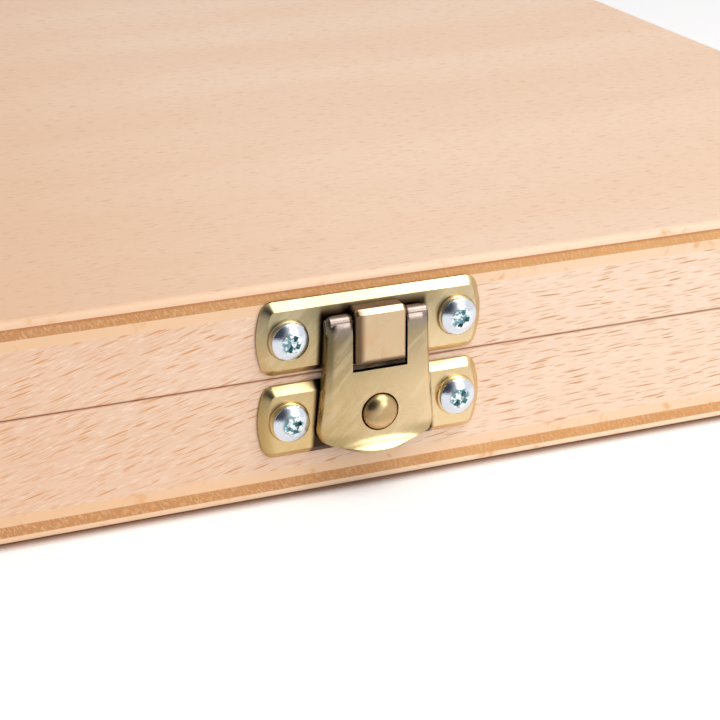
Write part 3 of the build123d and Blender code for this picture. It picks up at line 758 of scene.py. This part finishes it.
def tongue_form(bm):
    """The lid plate's tongue: out over the hasp's bar, down in front of it and hemmed behind."""
    profile = [(TONGUE_ROOT, TONGUE_TOP), (TONGUE_OUT, TONGUE_TOP), (TONGUE_OUT, TONGUE_LOW),
               (HEM_IN, TONGUE_LOW), (HEM_IN, HEM_TOP), (TONGUE_IN, HEM_TOP), (TONGUE_IN, TONGUE_UNDER),
               (TONGUE_ROOT, TONGUE_UNDER)]
    plate_faces = set(bm.faces)
    side = bm.faces.new([bm.verts.new(at_front(-TONGUE_HALF_W, out, z)) for out, z in profile])
    moved = extruded(bmesh.ops.extrude_face_region(bm, geom=[side]))
    bmesh.ops.translate(bm, vec=(2 * TONGUE_HALF_W * MM, 0, 0), verts=moved)
    faces = [face for face in bm.faces if face not in plate_faces]
    bmesh.ops.recalc_face_normals(bm, faces=faces)
    above = [edge for edge in foremost(faces).edges if at_height(edge, TONGUE_TOP)]
    round_edges(bm, above, TONGUE_BEVEL, 1)
    faces = [face for face in bm.faces if face not in plate_faces]
    front = foremost(faces)
    strip = foremost(face for face in faces if face.normal.z > 0.3 and face.normal.y < -0.3)
    ends = [edge for face in (front, strip) for edge in face.edges if spans(edge, 0) < NEAR]
    top = [edge for edge in bm.edges if at_height(edge, TONGUE_TOP) and spans(edge, 0) < NEAR]
    round_edges(bm, ends + top, TONGUE_ROUND, 4)
    under = [edge for edge in bm.edges if at_height(edge, TONGUE_LOW)
             and all(vert.co.y < TONGUE_Y * MM + NEAR for vert in edge.verts)]
    round_edges(bm, under, TONGUE_FOOT_ROUND, 3)


bm = bmesh.new()
plate_form(bm, LID_PLATE_Z, LID_SCREW_Z)
tongue_form(bm)
finished(bm, "lid_plate_pressing", "lid", lid_plate_brass, ["latch_lid_plate"], 30,
         [softened(0.09, 2, 25)])
bm = bmesh.new()
plate_form(bm, KEEPER_PLATE_Z, KEEPER_SCREW_Z)
finished(bm, "keeper_plate_pressing", "case", keeper_brass, ["latch_keeper_plate"], 30,
         [softened(0.09, 2, 25)])


# Stud
DOME_FOOT, DOME_H, STUD_FOOT, RIVET_R = 3.5, 1.5, 1.2, 1.5
bm = bmesh.new()
dome = [(STUD_R * sin(radians(a)), DOME_FOOT + DOME_H * cos(radians(a))) for a in range(0, 91, 9)]
neck = [(STUD_R - 0.1, DOME_FOOT - 0.2), (STUD_NECK, DOME_FOOT - 0.4), (STUD_NECK, STUD_FOOT),
        (RIVET_R, STUD_FOOT), (RIVET_R, 0.1), (0, 0.1)]
turned(bm, dome + neck, (0, STUD_Z), 64)
finished(bm, "stud_dome", "case", stud_brass, ["latch_stud"], 40)


# Latch screws: domed heads with a cross recess and four fine notches between its arms
def screw_pair(name, body, node, screw_z, turns, finish):
    """Two screws; turns is how far round each recess stands, in degrees."""
    bm = bmesh.new()
    cuts = bmesh.new()
    rise = HEAD_H - RIM_H
    radius = (HEAD_R ** 2 + rise ** 2) / (2 * rise)
    crown = [(radius * sin(a), SEAT + HEAD_H - radius * (1 - cos(a)))
             for a in [i / 10 * 0.94 * (HEAD_R / radius) for i in range(11)]]
    rim = [(HEAD_R - 0.03, SEAT + 0.5), (HEAD_R, SEAT + 0.34), (HEAD_R - 0.05, SEAT + 0.12),
           (HEAD_R - 0.3, SEAT), (SHANK_R, SEAT), (SHANK_R, -6.5), (SHANK_R / 2, -7.5), (0, -7.5)]
    for end, turn in zip((-1, 1), turns):
        turned(bm, crown + rim, (end * SCREW_X, screw_z), 48)
        centre = at_front(end * SCREW_X, SEAT + HEAD_H + 0.1, screw_z)
        for arm, long_w, wide, depth in ((0, 3.3, 0.85, 0.8), (90, 3.3, 0.85, 0.8),
                                         (45, 2.5, 0.3, 0.4), (135, 2.5, 0.3, 0.4)):
            verts = bmesh.ops.create_cube(cuts, size=1)["verts"]
            for vert in verts:
                short, narrow, into = (0.52, 0.7, depth) if vert.co.y > 0 else (1.0, 1.0, -0.6)
                vert.co = Vector((vert.co.x * long_w * short, into, vert.co.z * wide * narrow)) * MM
            bmesh.ops.rotate(cuts, cent=(0, 0, 0), matrix=Matrix.Rotation(radians(arm + turn), 3, "Y"),
                             verts=verts)
            bmesh.ops.translate(cuts, vec=centre, verts=verts)
    bmesh.ops.recalc_face_normals(cuts, faces=cuts.faces)
    recess = cutter(cuts, name + "_recess")
    finished(bm, name, body, finish, [node], 30,
             [cut(recess, use_self=True), softened(0.045, 1, 35)])


screw_pair("lid_plate_screw_heads", "lid", "lid_plate_screws", LID_SCREW_Z, (28, 12), lid_zinc)
screw_pair("keeper_plate_screw_heads", "case", "keeper_plate_screws", KEEPER_SCREW_Z, (-18, 34),
           keeper_zinc)


# Hasp: a pressed sheet with turned-back sides and shoulders, and a scooped lip to pull on
BAR_OUT, BAR_Z, BAR_R = 2.5, 24.5, 0.85
CROWN_OUT, CROWN_Z, CROWN_DEEP, CROWN_HIGH = 2.3, 22.7, 1.45, 2.7
HASP_TOP, HASP_TOP_HALF_W, HASP_LOW_HALF_W = CROWN_Z + CROWN_HIGH, 7.15, 8.45
WINDOW_HALF_W, WINDOW_LOW = 3.87, 17.7
SHOULDER_TURN = 112
LIP_TOP, LIP_CORNER, LIP_MIDDLE = 9.7, 8.35, 6.75
CORNER_REACH = 0.5
SCOOP_TOP, SCOOP_HALF_W, SCOOP_R, SCOOP_DROP = 9.05, 7.9, 2.6, 2.28

# Its mesh is a grid: rows run down over the shoulder, the face and the lip, and columns out to each side
SHOULDER_ROWS, LIP_ROWS = 8, 9
FACE_LEVELS = [CROWN_Z, 21.6, 20.4, 19.0, WINDOW_LOW, 16.2, 14.8, 13.2, 11.6, 10.6, LIP_TOP]
ROWS = SHOULDER_ROWS + len(FACE_LEVELS) + LIP_ROWS
WINDOW_COLUMN, LAST_COLUMN = 3, 11


def hasp_half_width(z):
    """Half width of the hasp at a height: the sides bow gently from the shoulders to the corners."""
    t = (HASP_TOP - z) / (HASP_TOP - LIP_CORNER)
    return HASP_TOP_HALF_W + 0.28 * t + 1.02 * t * t


def hasp_side_round(z):
    """The flank's rounding: tight at the shoulders and fuller towards the lower corners."""
    t = min(max((HASP_TOP - z) / (HASP_TOP - LIP_TOP), 0), 1)
    return 1.3 + 0.4 * t ** 2


def hasp_section(z):
    """The hasp's section at a height, as (x, depth behind the face) from the middle to the flange."""
    half_w, bend = hasp_half_width(z), hasp_side_round(z)
    flat = half_w - bend
    middle = (WINDOW_HALF_W + flat) / 2
    points = [(0, 0), (WINDOW_HALF_W * 0.34, 0), (WINDOW_HALF_W * 0.68, 0), (WINDOW_HALF_W, 0), (middle, 0)]
    for step in range(6):
        a = radians(90 * step / 5)
        points.append((flat + bend * sin(a), bend * (1 - cos(a))))
    points.append((half_w, FACE - BACK))
    return points


def hasp_point(row, column):
    """Where a point of the grid lies, as (across, out, up)."""
    side = -1 if column < 0 else 1
    k = abs(column)
    if row < SHOULDER_ROWS:
        turn = radians(SHOULDER_TURN * (SHOULDER_ROWS - row) / SHOULDER_ROWS)
        x, depth = hasp_section(CROWN_Z)[k]
        if k == LAST_COLUMN:
            return side * x, BACK, CROWN_Z + (CROWN_HIGH - 0.75) * sin(turn * 0.7)
        inset = min(depth, 0.9)
        deep, high = CROWN_DEEP - inset, CROWN_HIGH - 0.55 * inset
        return side * x, CROWN_OUT + deep * cos(turn), CROWN_Z + high * sin(turn)
    row -= SHOULDER_ROWS
    if row < len(FACE_LEVELS):
        x, depth = hasp_section(FACE_LEVELS[row])[k]
        return side * x, FACE - depth, FACE_LEVELS[row]
    sweep = (row - len(FACE_LEVELS) + 1) / LIP_ROWS * pi / 2
    x, depth = hasp_section(LIP_TOP)[k]
    out_share = x / hasp_half_width(LIP_TOP)
    x *= 1 - CORNER_REACH / HASP_LOW_HALF_W * (1 - cos(sweep)) * out_share ** 3
    low = LIP_MIDDLE + (LIP_CORNER - LIP_MIDDLE) * (x / HASP_LOW_HALF_W) ** 2
    z = LIP_TOP - (LIP_TOP - low) * sin(sweep)
    drop = max(0.0, SCOOP_TOP - z)
    scoop = max(0.0, 1 - (x / SCOOP_HALF_W) ** 2)
    flare = SCOOP_R - sqrt(SCOOP_R ** 2 - min(drop, SCOOP_DROP) ** 2)
    out = FACE - depth + flare * scoop - 0.1 * (1 - scoop) * drop
    return side * x, out, z


bm = bmesh.new()
bmesh.ops.create_grid(bm, x_segments=2 * LAST_COLUMN, y_segments=ROWS - 1, size=0.5)
home = {}
for vert in bm.verts:
    column = round(vert.co.x * 2 * LAST_COLUMN)
    row = round((0.5 - vert.co.y) * (ROWS - 1))
    home[vert] = (row, column)
    vert.co = at_front(*hasp_point(row, column))
window_row = SHOULDER_ROWS + FACE_LEVELS.index(WINDOW_LOW)
window = [face for face in bm.faces
          if all(abs(home[vert][1]) <= WINDOW_COLUMN and home[vert][0] <= window_row for vert in face.verts)]
bmesh.ops.delete(bm, geom=window, context="FACES")
loose = [vert for vert in bm.verts if not vert.link_faces]
bmesh.ops.delete(bm, geom=loose, context="VERTS")
bmesh.ops.recalc_face_normals(bm, faces=bm.faces)
if foremost(bm.faces).normal.y > 0:
    bmesh.ops.reverse_faces(bm, faces=bm.faces)

hole = bmesh.new()
turned(hole, [(0, 6.0), (STUD_HOLE_R, 6.0), (STUD_HOLE_R, 1.0), (0, 1.0)], (0, STUD_Z), 64)
finished(bm, "hasp_pressing", "hasp", hasp_brass, ["latch_hasp"], 38,
         [("SOLIDIFY", {"thickness": SHEET * MM, "offset": -1.0, "use_even_offset": False}),
          cut(cutter(hole, "stud_hole")), softened(0.1, 2, 50)])

bm = bmesh.new()
bar = bmesh.ops.create_cone(bm, cap_ends=True, segments=32, radius1=BAR_R * MM, radius2=BAR_R * MM,
                            depth=2 * (HASP_TOP_HALF_W - SHEET / 2) * MM)["verts"]
bmesh.ops.rotate(bm, cent=(0, 0, 0), matrix=Matrix.Rotation(radians(90), 3, "Y"), verts=bar)
bmesh.ops.translate(bm, vec=at_front(0, BAR_OUT, BAR_Z), verts=bar)
finished(bm, "hasp_bar", "hasp", hasp_brass, (), 40)


# Paint cakes: poured into their pans, a little dished, with a raised meniscus at the wall
PAN_PITCH, PAINT_W, PAINT_L, PAINT_LOW, PAINT_H = 15.95, 14.0, 17.4, 5.6, 8.6
DISH, MENISCUS_W, RIPPLE, CORNER_CUT = 0.75, 0.9, 0.12, 0.12
ROW_Y = {"front": -73.95, "back": -52.85}
PAINTS = {
    "front": ["lemon_yellow", "golden_yellow", "orange", "vermilion", "scarlet", "carmine",
              "rose_madder", "violet", "ultramarine", "cobalt_blue", "azure_blue", "turquoise"],
    "back": ["emerald_green", "grass_green", "olive_green", "yellow_ochre", "raw_sienna", "burnt_sienna",
             "red_oxide", "raw_umber", "sepia", "indigo", "neutral_grey", "lamp_black"]}
paint_tones = {entry["slot"]: entry["base_color"] for entry in frame["record"]["materials"]}


def paint_cake(name, centre_x, centre_y, number):
    bm = bmesh.new()
    bmesh.ops.create_grid(bm, x_segments=14, y_segments=16, size=1)
    for vert in bm.verts:
        x, y = PAINT_W / 2 * sin(vert.co.x * pi / 2), PAINT_L / 2 * sin(vert.co.y * pi / 2)
        wall = min(PAINT_W / 2 - abs(x), PAINT_L / 2 - abs(y))
        if PAINT_W / 2 - abs(x) + PAINT_L / 2 - abs(y) < 0.01:
            x, y = x - CORNER_CUT * (1 if x > 0 else -1), y - CORNER_CUT * (1 if y > 0 else -1)
        dish = DISH * (1 - exp(-wall / MENISCUS_W)) + 0.05 * wall
        wave = RIPPLE * sin(0.6 * x + number) * cos(0.5 * y + 2.1 * number) * min(wall, 1)
        vert.co = Vector((centre_x + x, centre_y + y, PAINT_LOW + PAINT_H - dish - wave)) * MM
    rim = [edge for edge in bm.edges if edge.is_boundary]
    sides = bmesh.ops.extrude_edge_only(bm, edges=rim)
    for vert in extruded(sides):
        vert.co.z = PAINT_LOW * MM
    low = [item for item in sides["geom"] if isinstance(item, bmesh.types.BMEdge) and item.is_boundary]
    bmesh.ops.contextual_create(bm, geom=low)
    bmesh.ops.recalc_face_normals(bm, faces=bm.faces)
    slot = f"paint_{name}"
    finished(bm, f"cake_{name}", "pan_rack", paint_finish(slot, paint_tones[slot][:3]), [slot], 50)


for row, names in PAINTS.items():
    for index, name in enumerate(names):
        paint_cake(name, (index - 5.5) * PAN_PITCH, ROW_Y[row], index + (0 if row == "front" else 12))


# Mixing palette: a glazed slab with soft wells
PALETTE_Y, PALETTE_W, PALETTE_D, PALETTE_LOW, PALETTE_TOP = 39.6, 193.0, 89.8, 4.2, 12.8
WELL_LOW, RIM = 6.4, 3.0
MIXING_W, MIXING_D, MIXING_Y = 60.333, 55.0, 25.2
SMALL_W, SMALL_D, SMALL_Y = 28.667, 25.8, 68.6
SLAB_ROUND, WELL_ROUND, WELL_FOOT_ROUND = 3.0, 5.0, 2.6

bm = bmesh.new()
block(bm, (-PALETTE_W / 2, PALETTE_Y - PALETTE_D / 2, PALETTE_LOW),
      (PALETTE_W / 2, PALETTE_Y + PALETTE_D / 2, PALETTE_TOP))
bmesh.ops.recalc_face_normals(bm, faces=bm.faces)
round_edges(bm, [edge for edge in bm.edges if upright(edge)], SLAB_ROUND, 6)
wells = bmesh.new()
for count, width, depth, centre_y in ((3, MIXING_W, MIXING_D, MIXING_Y), (6, SMALL_W, SMALL_D, SMALL_Y)):
    for index in range(count):
        centre_x = (index - (count - 1) / 2) * (width + RIM)
        before = set(wells.edges)
        block(wells, (centre_x - width / 2, centre_y - depth / 2, WELL_LOW),
              (centre_x + width / 2, centre_y + depth / 2, PALETTE_TOP + 4))
        corners = [edge for edge in wells.edges if edge not in before and upright(edge)]
        round_edges(wells, corners, WELL_ROUND, 8)
        low = [edge for edge in wells.edges if edge not in before and at_height(edge, WELL_LOW)]
        round_edges(wells, low, WELL_FOOT_ROUND, 5)
bmesh.ops.recalc_face_normals(wells, faces=wells.faces)
finished(bm, "palette_slab", "palette", palette_glaze, ["mixing_palette"], 50,
         [cut(cutter(wells, "well_shapes")), softened(0.9, 4, 50)])


# Floor, light and camera
WHITE = (1.0, 1.0, 1.0, 1.0)


def lamp(name, place, aim, size, power, tint):
    """A rectangular softbox; its place, aim and size are in metres and its power in watts."""
    data = bpy.data.lights.new(name, "AREA")
    data.shape = "RECTANGLE"
    data.size, data.size_y = size
    data.energy = power
    data.color = tint
    made = bpy.data.objects.new(name, data)
    made.location = place
    made.rotation_euler = (Vector(aim) - Vector(place)).to_track_quat("-Z", "Y").to_euler()
    bpy.context.scene.collection.objects.link(made)


def make_floor():
    """A white floor with a painted contact shadow, brown right at the box's foot, and as bright as the
    background far off.
    """
    contact_shadow_brown, paper_white = (0.30, 0.19, 0.14, 1.0), (0.93, 0.93, 0.945, 1.0)
    bm = bmesh.new()
    bmesh.ops.create_grid(bm, x_segments=1, y_segments=1, size=6.0)
    floor = placed(bm, "floor")
    made, bench, shader = material("white_floor")
    # Painted contact shadow: an occlusion node turns the floor brown near the box, for camera rays only.
    crevice = bench.node("ShaderNodeAmbientOcclusion", {"Distance": 3.4 * MM}, samples=8).outputs["AO"]
    clear = bench.between(crevice, 0.5, 0.9)
    path = bench.node("ShaderNodeLightPath").outputs
    unseen = bench.maths("SUBTRACT", 1.0, path["Is Camera Ray"])
    light_share = bench.maths("MAXIMUM", clear, unseen)
    seen = bench.maths("MAXIMUM", path["Is Camera Ray"], path["Is Glossy Ray"])
    seen = bench.maths("MAXIMUM", seen, path["Is Transmission Ray"])
    glow = bench.times(seen, clear, 0.2)
    place, _ = bench.place()
    away = bench.node("ShaderNodeVectorMath", {0: place}, operation="LENGTH").outputs["Value"]
    far_glow = bench.times(path["Is Camera Ray"], bench.between(away, 350.0, 900.0, 0.0, 0.35))
    bench.fill(shader, {"Base Color": bench.mixed(light_share, contact_shadow_brown, paper_white), "Roughness": 0.9,
                        "Specular IOR Level": 0.0, "Emission Color": WHITE,
                        "Emission Strength": bench.maths("ADD", glow, far_glow)})
    floor.data.materials.append(made)


def make_world():
    """White behind everything; metal also sees a dim room at eye level on the camera's side."""
    soft_white, dim_blue = (0.5, 0.495, 0.49, 1.0), (0.05, 0.06, 0.08, 1.0)
    world = bpy.data.worlds.new("studio")
    bpy.context.scene.world = world
    world.use_nodes = True
    bench = Bench(world.node_tree)
    background = world.node_tree.nodes["Background"]
    path = bench.node("ShaderNodeLightPath").outputs
    direction = bench.node("ShaderNodeTexCoord").outputs["Generated"]
    toward = bench.node("ShaderNodeVectorMath", {0: direction, 1: (-0.55, -0.70, 0.46)},
                        operation="DOT_PRODUCT").outputs["Value"]
    dim_room = bench.between(toward, 0.62, 0.95)
    mirrored = bench.mixed(dim_room, WHITE, dim_blue)
    clear = bench.maths("MAXIMUM", path["Is Camera Ray"], path["Is Transmission Ray"])
    lit = bench.mixed(path["Is Glossy Ray"], soft_white, mirrored)
    bench.feed(background.inputs["Color"], bench.mixed(clear, lit, WHITE))


make_floor()
make_world()
latch = (0.0, -0.097, 0.017)
lamp("overhead_softbox", (0.24, -0.33, 0.56), latch, (0.42, 0.42), 2.2, (1.0, 0.985, 0.96))
lamp("front_right_softbox", (0.36, -0.755, 0.30), latch, (0.26, 0.26), 1.0, (1.0, 0.99, 0.97))

camera_data = bpy.data.cameras.new("photo_camera")
camera_data.lens = 106.609
camera_data.sensor_width = 36.0
camera = bpy.data.objects.new("photo_camera", camera_data)
camera.location = (-0.10299, -0.33433, 0.12153)
camera.rotation_euler = (radians(90 - 21.761), 0.0, radians(-23.024))
bpy.context.scene.collection.objects.link(camera)
bpy.context.scene.camera = camera
bpy.context.scene.view_settings.view_transform = "Standard"
